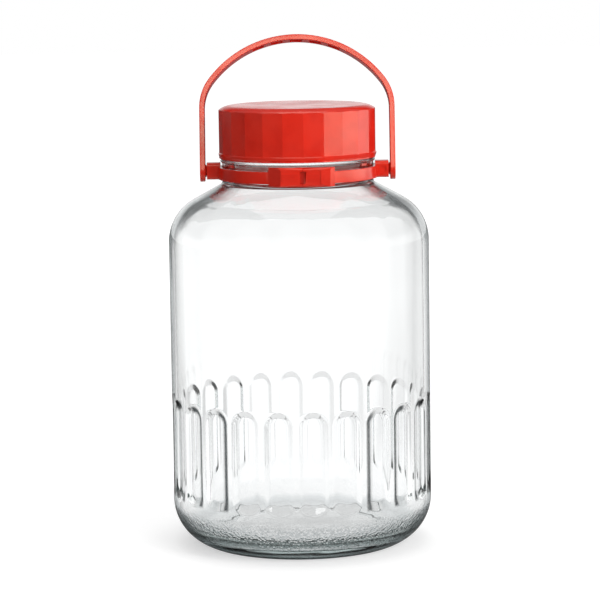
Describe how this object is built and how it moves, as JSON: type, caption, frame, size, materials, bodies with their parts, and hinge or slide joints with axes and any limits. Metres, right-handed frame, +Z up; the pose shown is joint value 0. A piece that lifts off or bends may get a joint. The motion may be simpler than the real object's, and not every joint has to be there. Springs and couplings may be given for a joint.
{
  "type": "glass storage jar",
  "caption": "Clear glass storage jar with arched flutes round its foot, a red faceted screw cap over an inner stopper, and a bail handle that swings in the ears of a clasped collar.",
  "frame": {"origin": "middle of the base, on the plane that the jar stands on", "axes": "+Z up along the jar's axis, -Y the front with the collar's clasp, +X to the right seen from the front"},
  "size_m": [0.178, 0.178, 0.3483],
  "materials": {
    "glass": "clear, fire-polished",
    "red_plastic": "moulded, glossy",
    "white_plastic": "moulded, satin",
    "seal": "matt"
  },
  "bodies": {
    "jar": {"glass_jar": "glass"},
    "stopper": {"inner_stopper": "white_plastic", "sealing_ring": "seal"},
    "cap": {"screw_cap": "red_plastic"},
    "collar": {"collar_ring": "red_plastic"},
    "handle": {"carry_handle": "red_plastic"}
  },
  "joints": [
    {"name": "cap_rise", "type": "slide", "parent": "jar", "child": "stopper", "axis": [0, 0, 1], "range_m": [0, 0.0101]},
    {"name": "cap_turn", "type": "hinge", "parent": "stopper", "child": "cap", "pos_m": [0, 0, 0.283], "axis": [0, 0, 1], "range_deg": [0, 450]},
    {"name": "collar_swivel", "type": "hinge", "parent": "jar", "child": "collar", "pos_m": [0, 0, 0.2553], "axis": [0, 0, 1], "continuous": true},
    {"name": "handle_swing", "type": "hinge", "parent": "collar", "child": "handle", "pos_m": [0, 0, 0.25662], "axis": [1, 0, 0], "range_deg": [-93, 115]}
  ],
  "couplings": [
    {"joint": "cap_rise", "follows": "cap_turn", "m_per_rad": 0.0012732}
  ]
}
